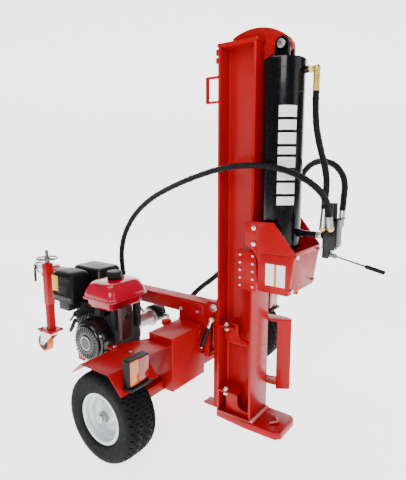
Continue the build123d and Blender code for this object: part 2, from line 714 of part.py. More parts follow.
def fuel_cap():
    return rod_z(-655, -322, 23.5, 688, 706) + rod_z(-655, -322, 37, 705.5, 744)


def air_cleaner():
    case = soften(box(-1011, -836, -450, -318, 560, 725), 12, Axis.Z)
    top = case.faces().sort_by(Axis.Z)[-1]
    return fillet(top.edges(), 9)


def muffler():
    can = soften(box(-1010, -790, -310, -148, 610, 728), 14, Axis.Z)
    can = fillet(can.faces().sort_by(Axis.Z)[-1].edges(), 9)
    return can - box(-1004, -796, -304, -154, 616, 718)


def control_box():
    return soften(box(-540, -512, -416, -344, 440, 600), 4, Axis.X)


def recoil_grip():
    """Pull bar held against the rim of the starter, on a short rope end."""
    turn = math.radians(GRIP_TURN)
    out = Vector(-math.cos(turn), 0, math.sin(turn))
    along = Vector(out.Z, 0, -out.X)
    mid = Vector(CRANK_X, -474, CRANK_Z) + out * 127
    bar = rod_between(mid - along * 40, mid + along * 40, 9)
    return bar + rod_between(mid, mid - out * 14, 4)


def throttle_lever():
    lever = rod_y(-815, 520, 7, -462, -452.3)
    return lever + prism_y([(-820, 524), (-812, 516), (-846, 478), (-854, 484)], -460, -456)


def engine_switch():
    return rod_x(-380, 548, 12, -511.8, -502) + box(-502, -496, -383, -377, 538, 558)


def frame_bolts():
    """Hexagon bolts that hold the tank plate, guard, brackets and mudguards."""
    chassis = [hex_y(x, 518, 19, -58, -50) for x in (-445, -339)]
    for x in (-505, -405, -345):
        chassis.append(hex_z(x, -472, 15, 430, 437))
        chassis.append(hex_z(x, 472, 15, 430, 437))
    return chassis + axle_nuts()


def beam_bolts():
    bolts = []
    for z in (930, 1000):
        head = hex_y(38, z, 20, -147, -139) + rod_y(38, z, 6, -140, -118)
        bolts += [head, mirror_y(head)]
    for y in (-120, 120):
        for x, z in ((230, 888), (209, 740)):
            bolts.append(rod_x(y, z, 9, x, x + 8) + rod_x(y, z, 5, x - 14, x))
    for low, near_top, far_top in ((486, 496, 508), (148, 158, 170)):
        for y, high in ((-79, near_top), (79, far_top)):
            bolt = rod_z(-140, y, 8, low - 14, high + 18)
            bolt += hex_z(-140, y, 24, high, high + 11) + hex_z(-140, y, 24, low - 12, low)
            bolts.append(bolt)
    return bolts


# --------------------------------------------------------------------- hoses
def hose(route, diameter, name):
    """Straight runs joined by the largest tangent arcs that fit them."""
    points = [Vector(*p) for p in route]
    runs = [b - a for a, b in zip(points, points[1:])]
    radii = []
    for before, after in zip(runs, runs[1:]):
        turn = math.radians(before.get_angle(after))
        radii.append(0.45 * min(before.length, after.length) / math.tan(turn / 2))
    path = FilletPolyline(*points, radius=radii)
    start = Plane(origin=points[0], z_dir=runs[0].normalized())
    tube = sweep(start * Circle(diameter / 2), path=path)
    ideal = math.pi * diameter ** 2 / 4 * path.length
    print(name, "length", round(path.length), "volume ratio", round(tube.volume / ideal, 4),
          "radii", [round(r) for r in radii])
    return tube


# --------------------------------------------------------------------- write
save("beam", beam())
save("foot_plate", foot_plate())
save("log_catcher", log_catcher())
save("log_guard", log_guard())
save("beam_bolts", *beam_bolts())
save("cylinder_barrel", cylinder_barrel())
save("cylinder_head", cylinder_head())
save("piston", piston())
save("ram_rod", ram_rod())
save("clevis_pin", clevis_pin())
save("wedge", wedge())
save("gib_bars", gib_bars())
save("carriage_bolts", *carriage_bolts())
save("valve_body", valve_body())
save("valve_spool", valve_spool())
save("valve_lever", valve_lever())
save("hose_fittings", feed_pipe(), *hose_fittings())
save("tongue", tongue())
save("pivot_pin", pivot_pin())
save("lock_pin", lock_pin())
save("coupler_body", coupler_body())
save("coupler_latch", coupler_latch())
save("hydraulic_tank", hydraulic_tank())
save("axle", axle())
save("fenders", *fenders())
save("light_housings", light_housing(), mirror_y(light_housing()))
save("amber_lenses", light_lens(-644.5, -598), mirror_y(light_lens(-644.5, -598)))
save("red_lenses", light_lens(-597.5, -538.5), mirror_y(light_lens(-597.5, -538.5)))
save("jack_outer_tube", jack_outer_tube())
save("jack_inner_tube", jack_inner_tube())
save("jack_screw", jack_screw())
save("caster_fork", caster_fork())
save("caster_wheel", caster_wheel())
save("caster_tread", caster_tread())
save("caster_pedal", caster_pedal())
save("near_tyre", tyre())
save("near_rim", rim())
save("far_tyre", mirror_y(tyre()))
save("far_rim", mirror_y(rim()))
save("engine_frame", engine_frame())
save("engine_block", engine_block())
save("recoil_housing", recoil_housing())
save("crankshaft", crankshaft())
save("pump_adapter", pump_adapter())
save("pump_body", pump_body())
save("pump_fittings", *pump_fittings())
save("fuel_tank", fuel_tank())
save("fuel_cap", fuel_cap())
save("air_cleaner", air_cleaner())
save("muffler", muffler())
save("control_box", control_box())
save("recoil_grip", recoil_grip())
save("throttle_lever", throttle_lever())
save("engine_switch", engine_switch())
save("frame_bolts", *frame_bolts())
save("pressure_hose_lower", hose(PRESSURE_LOWER, HOSE_D, "pressure_hose_lower"))
save("pressure_hose_upper", hose(PRESSURE_UPPER, HOSE_D, "pressure_hose_upper"))
save("return_hose_lower", hose(RETURN_LOWER, HOSE_D, "return_hose_lower"))
save("return_hose_upper", hose(RETURN_UPPER, HOSE_D, "return_hose_upper"))
save("cylinder_hose", hose(CYLINDER_ROUTE, HOSE_D, "cylinder_hose"))
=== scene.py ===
"""Visual model of the log splitter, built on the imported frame. Metres, +Z up."""
import bpy
import bmesh
import json
import math
from mathutils import Matrix, Vector, noise


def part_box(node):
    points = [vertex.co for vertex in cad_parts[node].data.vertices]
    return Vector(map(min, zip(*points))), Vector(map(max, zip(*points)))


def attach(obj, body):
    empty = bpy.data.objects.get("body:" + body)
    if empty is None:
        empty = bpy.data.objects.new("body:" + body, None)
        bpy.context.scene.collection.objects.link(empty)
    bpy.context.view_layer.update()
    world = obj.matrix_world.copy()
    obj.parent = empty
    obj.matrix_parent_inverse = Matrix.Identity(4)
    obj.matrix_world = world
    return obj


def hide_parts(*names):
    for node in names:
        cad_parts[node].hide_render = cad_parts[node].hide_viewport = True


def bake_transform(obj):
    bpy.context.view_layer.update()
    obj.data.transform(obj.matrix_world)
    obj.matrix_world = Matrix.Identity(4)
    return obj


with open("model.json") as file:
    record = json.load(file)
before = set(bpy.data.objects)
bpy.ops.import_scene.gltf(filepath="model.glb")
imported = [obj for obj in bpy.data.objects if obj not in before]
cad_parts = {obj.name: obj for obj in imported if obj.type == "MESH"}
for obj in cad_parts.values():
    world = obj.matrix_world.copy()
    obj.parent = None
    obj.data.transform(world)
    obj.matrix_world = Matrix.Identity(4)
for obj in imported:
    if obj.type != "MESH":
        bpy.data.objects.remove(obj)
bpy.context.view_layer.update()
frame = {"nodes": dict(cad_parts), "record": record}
NODES = frame["nodes"]
BODY_OF = {}
for body_name, members in frame["record"]["behaviour"]["bodies"].items():
    for member in members:
        BODY_OF[member] = body_name

# ------------------------------------------------------------------ sizes
WHEEL = Vector((-0.396, 0.599, 0.203))
CYL = Vector((0.092, 0.0, 0.0))
CYL_R = 0.0887
CRANK = Vector((-0.700, 0.0, 0.405))
HOSE_D = 0.026
HOSE_STEP = 0.0035
HOSE_FOLDS_PER_M = 42
TREAD_HALF = 0.073
TREAD_ROW = 0.0147
TREAD_ROWS = 10
TREAD_DEPTH = 0.0065
TREAD_EDGE_R = 0.188
SIDEWALL_RIB = 0.0009
TUBE_TOP = 1.704
CLEVIS_Z = 1.7630
PAPER_GLOW = 2.5
PAPER_DROP = 0.0005


# -------------------------------------------------------------- materials
def nodes_of(mat):
    """A material's nodes, its links and its surface shader."""
    tree = mat.node_tree
    return tree.nodes, tree.links, tree.nodes["Principled BSDF"]


def surface(name, color, rough=0.4, metal=0.0, coat=0.0, vary=0.12, grain=350.0, bump=0.12,
            scuff=0.25, scuff_color=None, stretch=(1, 1, 1), shine=0.35):
    """Painted, metal or plastic surface: cloudy colour, scuffs, fine grain and uneven gloss."""
    mat = bpy.data.materials.new(name)
    mat.use_nodes = True
    nodes, links, shader = nodes_of(mat)
    coord = nodes.new("ShaderNodeTexCoord")
    mapping = nodes.new("ShaderNodeMapping")
    mapping.inputs["Scale"].default_value = stretch
    links.new(coord.outputs["Object"], mapping.inputs["Vector"])

    def texture(scale, detail, distortion=0.0):
        tex = nodes.new("ShaderNodeTexNoise")
        tex.inputs["Scale"].default_value = scale
        tex.inputs["Detail"].default_value = detail
        tex.inputs["Distortion"].default_value = distortion
        links.new(mapping.outputs["Vector"], tex.inputs["Vector"])
        return tex

    cloud = texture(7.0, 4.0)
    dark = tuple(c * (1 - vary) for c in color) + (1,)
    light = tuple(min(1, c * (1 + vary)) for c in color) + (1,)
    ramp = nodes.new("ShaderNodeValToRGB")
    ramp.color_ramp.elements[0].position = 0.3
    ramp.color_ramp.elements[0].color = dark
    ramp.color_ramp.elements[1].position = 0.7
    ramp.color_ramp.elements[1].color = light
    links.new(cloud.outputs["Fac"], ramp.inputs["Fac"])

    scratch = texture(38.0, 8.0, 1.6)
    mask = nodes.new("ShaderNodeMapRange")
    mask.inputs["From Min"].default_value = 0.60
    mask.inputs["From Max"].default_value = 0.74
    mask.inputs["To Max"].default_value = scuff
    links.new(scratch.outputs["Fac"], mask.inputs["Value"])
    mix = nodes.new("ShaderNodeMix")
    mix.data_type = "RGBA"
    worn = scuff_color or tuple(c * 0.55 + 0.02 for c in color)
    mix.inputs["B"].default_value = tuple(worn) + (1,)
    links.new(mask.outputs["Result"], mix.inputs["Factor"])
    links.new(ramp.outputs["Color"], mix.inputs["A"])
    links.new(mix.outputs["Result"], shader.inputs["Base Color"])

    gloss = nodes.new("ShaderNodeMapRange")
    gloss.inputs["From Min"].default_value = 0.3
    gloss.inputs["From Max"].default_value = 0.7
    gloss.inputs["To Min"].default_value = max(0.03, rough - 0.08)
    gloss.inputs["To Max"].default_value = min(1.0, rough + 0.12)
    links.new(scratch.outputs["Fac"], gloss.inputs["Value"])
    links.new(gloss.outputs["Result"], shader.inputs["Roughness"])

    fine = texture(grain, 3.0)
    lift = nodes.new("ShaderNodeBump")
    lift.inputs["Strength"].default_value = bump
    lift.inputs["Distance"].default_value = 0.0008
    links.new(fine.outputs["Fac"], lift.inputs["Height"])
    links.new(lift.outputs["Normal"], shader.inputs["Normal"])
    shader.inputs["Metallic"].default_value = metal
    shader.inputs["Specular IOR Level"].default_value = shine
    shader.inputs["Coat Weight"].default_value = coat
    shader.inputs["Coat Roughness"].default_value = 0.08
    mat.diffuse_color = tuple(color) + (1,)
    return mat


RED = surface("red_paint", (0.31, 0.0003, 0.0026), rough=0.36, coat=0.10, vary=0.07, scuff=0.12,
              shine=0.12)
BLACK = surface("black_paint", (0.003, 0.003, 0.0035), rough=0.34, coat=0.08, scuff=0.3,
                scuff_color=(0.03, 0.03, 0.03), shine=0.25)
MAROON = surface("maroon_plastic", (0.035, 0.004, 0.006), rough=0.45, coat=0.1, vary=0.2,
                 grain=700, bump=0.3, shine=0.25)
CYL_BLACK = surface("cylinder_black", (0.002, 0.002, 0.003), rough=0.2, coat=0.2, scuff=0.2,
                    scuff_color=(0.008, 0.008, 0.010), shine=0.15)
ZINC = surface("zinc_plate", (0.62, 0.62, 0.64), rough=0.3, metal=1.0, vary=0.1, scuff=0.4,
               scuff_color=(0.35, 0.33, 0.28))
STEEL = surface("bare_steel", (0.38, 0.37, 0.36), rough=0.42, metal=1.0, vary=0.15, scuff=0.5,
                scuff_color=(0.22, 0.17, 0.13), stretch=(1, 1, 4))
DARK_STEEL = surface("dark_steel", (0.16, 0.155, 0.15), rough=0.4, metal=1.0, vary=0.2, scuff=0.5,
                     scuff_color=(0.08, 0.06, 0.05))
CHROME = surface("rod_chrome", (0.82, 0.82, 0.84), rough=0.08, metal=1.0, vary=0.03, scuff=0.1)
BRASS = surface("brass", (0.62, 0.42, 0.13), rough=0.3, metal=1.0, vary=0.12, scuff=0.4,
                scuff_color=(0.3, 0.2, 0.08))
RIM = surface("rim_silver", (0.62, 0.68, 0.68), rough=0.38, metal=0.25, coat=0.2, vary=0.06,
              scuff=0.3, scuff_color=(0.35, 0.33, 0.3))
TYRE = surface("tyre_rubber", (0.004, 0.004, 0.0045), rough=0.62, vary=0.3, grain=520, bump=0.35,
               scuff=0.4, scuff_color=(0.010, 0.0095, 0.009), shine=0.10)
PLASTIC = surface("black_plastic", (0.003, 0.003, 0.0035), rough=0.42, vary=0.2, grain=900, bump=0.4,
                  scuff=0.2, scuff_color=(0.010, 0.010, 0.010), shine=0.16)
GLOSS = surface("gloss_plastic", (0.005, 0.005, 0.006), rough=0.18, coat=0.4, vary=0.1, grain=500,
                bump=0.05, scuff=0.1, shine=0.35)
TANK_RED = surface("tank_crimson", (0.36, 0.0004, 0.016), rough=0.16, coat=0.35, vary=0.04,
                   scuff=0.08, bump=0.04)
ALLOY = surface("cast_aluminium", (0.56, 0.56, 0.55), rough=0.36, metal=1.0, vary=0.12, scuff=0.4,
                scuff_color=(0.3, 0.29, 0.27), grain=700, bump=0.3)
ENGINE = surface("engine_casting", (0.035, 0.035, 0.038), rough=0.55, metal=0.6, vary=0.25,
                 grain=600, bump=0.6, scuff=0.4, scuff_color=(0.06, 0.05, 0.04))
ORANGE = surface("caster_tread", (0.62, 0.12, 0.01), rough=0.5, vary=0.1, scuff=0.5,
                 scuff_color=(0.3, 0.12, 0.05), grain=400, bump=0.3)
AMBER = surface("amber_lens", (0.50, 0.10, 0.0005), rough=0.12, coat=0.8, vary=0.05, scuff=0.05)
LENS_RED = surface("red_lens", (0.24, 0.001, 0.001), rough=0.12, coat=0.8, vary=0.05, scuff=0.05)
WHITE = surface("white_decal", (0.82, 0.82, 0.80), rough=0.4, vary=0.03, scuff=0.12)
YELLOW = surface("yellow_decal", (0.62, 0.36, 0.0005), rough=0.4, vary=0.04, scuff=0.12)
WELD = surface("weld_bead", (0.34, 0.030, 0.028), rough=0.4, metal=0.2, coat=0.4, vary=0.2,
               grain=240, bump=0.5)
PALE_WELD = surface("pale_weld", (0.52, 0.16, 0.15), rough=0.35, metal=0.2, coat=0.3, vary=0.25,
                    grain=240, bump=0.6)


def hose_material():
    """Black hose in a woven sleeve that wrinkles across its length."""
    mat = surface("hose_rubber", (0.0035, 0.0035, 0.0050), rough=0.38, vary=0.25, grain=500, bump=0.2,
                  shine=0.2)
    nodes, links, shader = nodes_of(mat)
    uv = nodes.new("ShaderNodeUVMap")
    scale = nodes.new("ShaderNodeMapping")
    scale.inputs["Scale"].default_value = (1, 1, 1)
    links.new(uv.outputs["UV"], scale.inputs["Vector"])
    wave = nodes.new("ShaderNodeTexWave")
    wave.bands_direction = "Y"
    wave.inputs["Scale"].default_value = 26.0
    wave.inputs["Distortion"].default_value = 5.0
    wave.inputs["Detail"].default_value = 3.0
    wave.inputs["Detail Scale"].default_value = 2.0
    links.new(scale.outputs["Vector"], wave.inputs["Vector"])
    lift = nodes.new("ShaderNodeBump")
    lift.inputs["Strength"].default_value = 0.7
    lift.inputs["Distance"].default_value = 0.0030
    links.new(wave.outputs["Fac"], lift.inputs["Height"])
    links.new(lift.outputs["Normal"], shader.inputs["Normal"])
    return mat


HOSE = hose_material()


# ------------------------------------------------------------ mesh helpers
def make(name, bm, mat, body, smooth=38, bevel=0.0, segments=2):
    """Mesh object from a bmesh, with rounded edges, riding on one CAD body."""
    mesh = bpy.data.meshes.new(name)
    bmesh.ops.recalc_face_normals(bm, faces=bm.faces)
    if bevel:
        edges = [e for e in bm.edges if len(e.link_faces) == 2
                 and e.calc_face_angle(0) > math.radians(32)]
        bmesh.ops.bevel(bm, geom=edges, offset=bevel, segments=segments, profile=0.5,
                        affect="EDGES", clamp_overlap=True)
    bm.to_mesh(mesh)
    bm.free()
    for poly in mesh.polygons:
        poly.use_smooth = True
    mesh.set_sharp_from_angle(angle=math.radians(smooth))
    obj = bpy.data.objects.new(name, mesh)
    bpy.context.scene.collection.objects.link(obj)
    for one in mat if isinstance(mat, (list, tuple)) else [mat]:
        mesh.materials.append(one)
    if body:
        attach(obj, body)
    return obj


def box(bm, low, high, turn=None):
    """Box between two corners, optionally turned by a matrix about its middle."""
    low, high = Vector(low), Vector(high)
    place = Matrix.Translation((low + high) / 2)
    if turn is not None:
        place = place @ turn
    size = Matrix.Diagonal(((high - low).x, (high - low).y, (high - low).z, 1))
    return bmesh.ops.create_cube(bm, size=1.0, matrix=place @ size)["verts"]


def rod(bm, start, end, radius, sides=32, end_radius=None):
    """Round bar, cone or prism between two points."""
    start, end = Vector(start), Vector(end)
    along = end - start
    turn = along.to_track_quat("Z", "Y").to_matrix().to_4x4()
    place = Matrix.Translation((start + end) / 2) @ turn
    far = radius if end_radius is None else end_radius
    bmesh.ops.create_cone(bm, cap_ends=True, segments=sides, radius1=radius, radius2=far,
                          depth=along.length, matrix=place)


def lathe(bm, profile, origin, axis, sides=64):
    """Closed or open outline of (radius, distance along the axis), turned about the axis."""
    axis = Vector(axis).normalized()
    side = axis.orthogonal().normalized()
    other = axis.cross(side)
    rings = []
    for turn in range(sides):
        a = 2 * math.pi * turn / sides
        out = side * math.cos(a) + other * math.sin(a)
        rings.append([bm.verts.new(Vector(origin) + out * r + axis * t) for r, t in profile])
    for i in range(sides):
        here, there = rings[i], rings[(i + 1) % sides]
        for k in range(len(profile) - 1):
            bm.faces.new((here[k], there[k], there[k + 1], here[k + 1]))
    bmesh.ops.remove_doubles(bm, verts=bm.verts, dist=0.00002)


def rounded_section(half_x, half_y, corner, steps=6):
    """Points round a rectangle with rounded corners."""
    points = []
    for cx, cy, begin in ((1, 1, 0), (-1, 1, 90), (-1, -1, 180), (1, -1, 270)):
        for step in range(steps + 1):
            a = math.radians(begin + 90 * step / steps)
            points.append((cx * (half_x - corner) + corner * math.cos(a),
                           cy * (half_y - corner) + corner * math.sin(a)))
    return points


def loft(bm, middle, levels):
    """Stack of rounded rectangles (z, half x, half y, corner), closed at both ends."""
    rings = []
    for z, half_x, half_y, corner in levels:
        ring = rounded_section(half_x, half_y, corner)
        rings.append([bm.verts.new((middle[0] + x, middle[1] + y, z)) for x, y in ring])
    for low, high in zip(rings, rings[1:]):
        for i in range(len(low)):
            j = (i + 1) % len(low)
            bm.faces.new((low[i], low[j], high[j], high[i]))
    bm.faces.new(list(reversed(rings[0])))
    bm.faces.new(rings[-1])


def bead(name, points, radius, body, mat=None, ripple=0.006, closed=False):
    """Hand-laid weld: a lumpy bead with ripples along a line of points."""
    mat = mat or WELD
    line = [Vector(p) for p in points]
    path = []
    for a, b in zip(line, line[1:]):
        count = max(2, int((b - a).length / (ripple / 3)))
        path += [a.lerp(b, i / count) for i in range(count)]
    path.append(line[-1])
    bm = bmesh.new()
    rings = []
    for i, p in enumerate(path):
        ahead = path[min(i + 1, len(path) - 1)] - path[max(i - 1, 0)]
        turn = ahead.to_track_quat("Z", "Y")
        wobble = noise.noise(p * 90.0) * 0.35
        r = radius * (0.86 + 0.16 * math.sin(i * 2 * math.pi / 3) + wobble * 0.5)
        ring = []
        for k in range(10):
            a = 2 * math.pi * k / 10
            ring.append(bm.verts.new(p + turn @ Vector((r * math.cos(a), r * math.sin(a), 0))))
        rings.append(ring)
    for low, high in zip(rings, rings[1:]):
        for k in range(10):
            j = (k + 1) % 10
            bm.faces.new((low[k], low[j], high[j], high[k]))
    bm.faces.new(rings[0])
    bm.faces.new(rings[-1])
    return make(name, bm, mat, body, smooth=70)


def rounded(node, mat, width=0.0016, name=None, smooth=40):
    """The node's own shape with its sharp edges eased, as pressed or cut metal has."""
    bm = bmesh.new()
    bm.from_mesh(NODES[node].data)
    bmesh.ops.remove_doubles(bm, verts=bm.verts, dist=0.00001)
    bmesh.ops.dissolve_limit(bm, angle_limit=math.radians(0.6), verts=bm.verts, edges=bm.edges)
    obj = make(name or node + "_shape", bm, mat, BODY_OF[node], smooth=smooth, bevel=width)
    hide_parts(node)
    return obj


def hexagon(bm, centre, axis, across, height):
    """Hexagon head with a turned-down rim and a washer face."""
    axis = Vector(axis).normalized()
    base = Vector(centre)
    r = across / math.sqrt(3)
    rod(bm, base, base + axis * height * 0.8, r, 6)
    rod(bm, base + axis * height * 0.8, base + axis * height, r * 0.97, 24, r * 0.8)
    rod(bm, base, base + axis * height * 0.14, r * 1.12, 32)


# -------------------------------------------------------- plain CAD pieces
PLAIN = {
    "beam": (RED, 0.0022), "foot_plate": (RED, 0.0030), "log_catcher": (RED, 0.0020),
    "log_guard": (RED, 0.0012), "beam_bolts": (ZINC, 0.0010), 
    "cylinder_head": (CYL_BLACK, 0.0016), "piston": (STEEL, 0.0010), "ram_rod": (CHROME, 0.0015),
    "clevis_pin": (ZINC, 0.0016), "wedge": (RED, 0.0020), "gib_bars": (STEEL, 0.0012),
    "carriage_bolts": (ZINC, 0.0006), "valve_body": (BLACK, 0.0014), "valve_spool": (STEEL, 0.0008),
    "tongue": (RED, 0.0018), "pivot_pin": (ZINC, 0.0014), "coupler_body": (ZINC, 0.0020),
    "coupler_latch": (BLACK, 0.0016), "hydraulic_tank": (RED, 0.0020), "axle": (RED, 0.0016),
    "frame_bolts": (ZINC, 0.0010), "fenders": (RED, 0.0010), "light_housings": (PLASTIC, 0.0016),
    "amber_lenses": (AMBER, 0.0022), "red_lenses": (LENS_RED, 0.0022),
    "jack_outer_tube": (RED, 0.0014), "jack_inner_tube": (RED, 0.0012),
    "caster_fork": (ZINC, 0.0010), "caster_wheel": (PLASTIC, 0.0012),
    "caster_pedal": (PLASTIC, 0.0014), "engine_frame": (RED, 0.0014), "engine_block": (ENGINE, 0.0012),
    "crankshaft": (STEEL, 0.0008), "pump_adapter": (ALLOY, 0.0016), "pump_body": (BLACK, 0.0016),
    "pump_fittings": (ZINC, 0.0010), "control_box": (MAROON, 0.0030),
    "throttle_lever": (PLASTIC, 0.0010), "engine_switch": (PLASTIC, 0.0012),
    "caster_tread": (ORANGE, 0.0020), "fuel_cap": (PLASTIC, 0.0016),
    "jack_screw": (DARK_STEEL, 0.0010), "recoil_grip": (PLASTIC, 0.0016), "lock_pin": (ZINC, 0.0012),
    "valve_lever": (DARK_STEEL, 0.0008), "hose_fittings": (BRASS, 0.0008),
}
SHAPES = {}
for node, (mat, width) in PLAIN.items():
    SHAPES[node] = rounded(node, mat, width)


def paint(obj, mat, low, high):
    """Give the faces whose middles lie in a box another material."""
    obj.data.materials.append(mat)
    slot = len(obj.data.materials) - 1
    for poly in obj.data.polygons:
        if all(low[k] <= poly.center[k] <= high[k] for k in range(3)):
            poly.material_index = slot


FITTINGS = SHAPES["hose_fittings"]
paint(FITTINGS, ZINC, (0.29, -0.2, 1.015), (0.40, 0.2, 1.12))
paint(FITTINGS, BLACK, (0.15, -0.05, 0.93), (0.2639, 0.05, 1.0))
paint(FITTINGS, ZINC, (0.2639, -0.05, 0.93), (0.30, 0.05, 1.0))


# ------------------------------------------------------------------- hoses
PRESSURE = [
    (-790, -16, 436), (-790, -92, 512), (-810, -114, 640), (-822, -118, 750),
    (-808, -118, 850), (-758, -118, 948), (-676, -118, 1036), (-568, -118, 1108),
    (-440, -118, 1164), (-308, -118, 1210), (-168, -118, 1250), (-30, -118, 1268),
    (100, -117, 1264), (212, -112, 1232), (294, -101, 1184), (337, -82, 1122),
    (341.4, -71.1, 1062)]
RETURN = [
    (-506, -8, 402), (-506, 54, 452), (-498, 86, 524), (-442, 102, 590), (-360, 116, 656),
    (-290, 124, 720), (-222, 130, 810), (-150, 133, 910), (-70, 136, 1000), (22, 136, 1082),
    (102, 130, 1172), (161, 118, 1263), (233, 100, 1290), (307, 84, 1267), (352, 72, 1205),
    (351, 66, 1128), (348.3, 64.2, 1076)]
CYLINDER = [
    (236, 0, 1566), (236, 0, 1512), (242, -5, 1446), (256, -12, 1382), (276, -20, 1320),
    (298, -28, 1262), (312, -36, 1206), (314, -48, 1150), (313.1, -54, 1090)]


def spline_points(route):
    """Points every few millimetres along the smooth curve through a route."""
    curve = bpy.data.curves.new("route", "CURVE")
    curve.dimensions = "3D"
    curve.resolution_u = 12
    spline = curve.splines.new("NURBS")
    spline.points.add(len(route) - 1)
    for point, place in zip(spline.points, route):
        point.co = (place[0] / 1000, place[1] / 1000, place[2] / 1000, 1)
    spline.order_u = 3
    spline.use_endpoint_u = True
    holder = bpy.data.objects.new("route", curve)
    bpy.context.scene.collection.objects.link(holder)
    bpy.context.view_layer.update()
    mesh = bpy.data.meshes.new_from_object(holder)
    points = [v.co.copy() for v in mesh.vertices]
    bpy.data.objects.remove(holder)
    bpy.data.meshes.remove(mesh)
    return points


def hose(name, route, sides=20):
    """Sleeved hose: slightly uneven tube with wrinkles across it, and its centre line."""
    path = spline_points(route)
    dense = []
    for a, b in zip(path, path[1:]):
        count = max(1, round((b - a).length / HOSE_STEP))
        dense += [a.lerp(b, i / count) for i in range(count)]
    dense.append(path[-1])
    bm = bmesh.new()
    layer = bm.loops.layers.uv.new("UVMap")
    rings = []
    lengths = [0.0]
    side = None
    for i, p in enumerate(dense):
        if i:
            lengths.append(lengths[-1] + (p - dense[i - 1]).length)
        ahead = (dense[min(i + 1, len(dense) - 1)] - dense[max(i - 1, 0)]).normalized()
        side = side or ahead.orthogonal().normalized()
        side = (side - ahead * side.dot(ahead)).normalized()
        other = ahead.cross(side)
        ring = []
        for k in range(sides):
            a = 2 * math.pi * k / sides
            spot = Vector((math.cos(a), math.sin(a), lengths[-1] * HOSE_FOLDS_PER_M))
            crease = noise.noise(spot * 1.7) * 0.6
            crease += noise.noise(Vector((k * 0.2, 0, spot.z * 2.3))) * 0.4
            r = HOSE_D / 2 * (1.04 + 0.17 * crease)
            ring.append(bm.verts.new(p + (side * math.cos(a) + other * math.sin(a)) * r))
        rings.append(ring)
    for i in range(len(rings) - 1):
        for k in range(sides):
            j = (k + 1) % sides
            face = bm.faces.new((rings[i][k], rings[i][j], rings[i + 1][j], rings[i + 1][k]))
            spots = ((k, i), (k + 1, i), (k + 1, i + 1), (k, i + 1))
            for loop, (u, v) in zip(face.loops, spots):
                loop[layer].uv = (u / sides, lengths[v] * 12)
    bm.faces.new(list(reversed(rings[0])))
    bm.faces.new(rings[-1])
    obj = make(name, bm, HOSE, None, smooth=60)
    return obj, path, lengths[-1]


for name, route, nodes_replaced, span in (
        ("pressure_hose", PRESSURE, ("pressure_hose_lower", "pressure_hose_upper"),
         ((-0.62, -0.118, 1.05), (0.10, -0.118, 1.26))),
        ("return_hose", RETURN, ("return_hose_lower", "return_hose_upper"),
         ((-0.50, 0.114, 0.52), (-0.20, 0.118, 0.84))),
        ("cylinder_hose_sleeve", CYLINDER, ("cylinder_hose",), None)):
    tube, path, length = hose(name, route)
    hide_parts(*nodes_replaced)
    if span:
        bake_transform(tube)
    else:
        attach(tube, "beam")


# ------------------------------------------------------------------ wheels
def tyre_profile(steps=44):
    """Outer face of the tyre as (radius, distance from the middle), bead to bead."""
    shape = [(0.101, -0.066), (0.114, -0.0665), (0.118, -0.072), (0.135, -0.0765),
             (0.160, -0.0795), (0.180, -0.0775), (0.192, -0.071), (0.199, -0.058),
             (0.2015, -0.040), (0.2025, -0.020), (0.203, 0.0)]
    full = shape + [(r, -t) for r, t in reversed(shape[:-1])]
    out = []
    for a, b in zip(full, full[1:]):
        for i in range(3):
            out.append((a[0] + (b[0] - a[0]) * i / 3, a[1] + (b[1] - a[1]) * i / 3))
    out.append(full[-1])
    return out


def tread_cut(t, turn):
    """Depth of the tread's grooves at a distance across and an angle round the tyre."""
    if abs(t) > TREAD_HALF:
        return 0.0
    start = t + TREAD_ROW * TREAD_ROWS / 2
    row = int(start / TREAD_ROW)
    across = (start % TREAD_ROW) / TREAD_ROW
    pitch = math.radians(10)
    shifted = turn + (pitch / 2 if row % 2 else 0) + 0.12 * (across - 0.5) * pitch
    along = (shifted % pitch) / pitch
    if across < 0.16 or across > 0.84 or along < 0.2:
        return TREAD_DEPTH
    return 0.0


def tyre(name, node, sign):
    """Turf tyre with blocks cut into its tread and two ribs on each wall."""
    bm = bmesh.new()
    profile = tyre_profile()
    sides = 360
    rings = []
    for i in range(sides):
        turn = 2 * math.pi * i / sides
        ring = []
        for r, t in profile:
            if r > TREAD_EDGE_R:
                r -= tread_cut(t, turn)
            elif 0.128 < r < 0.140 or 0.166 < r < 0.171:
                t += math.copysign(SIDEWALL_RIB, t)
            place = (WHEEL.x + r * math.cos(turn), sign * WHEEL.y + t, WHEEL.z + r * math.sin(turn))
            ring.append(bm.verts.new(place))
        rings.append(ring)
    for i in range(sides):
        here, there = rings[i], rings[(i + 1) % sides]
        for k in range(len(profile) - 1):
            bm.faces.new((here[k], here[k + 1], there[k + 1], there[k]))
    obj = make(name, bm, TYRE, BODY_OF[node], smooth=50)
    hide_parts(node)


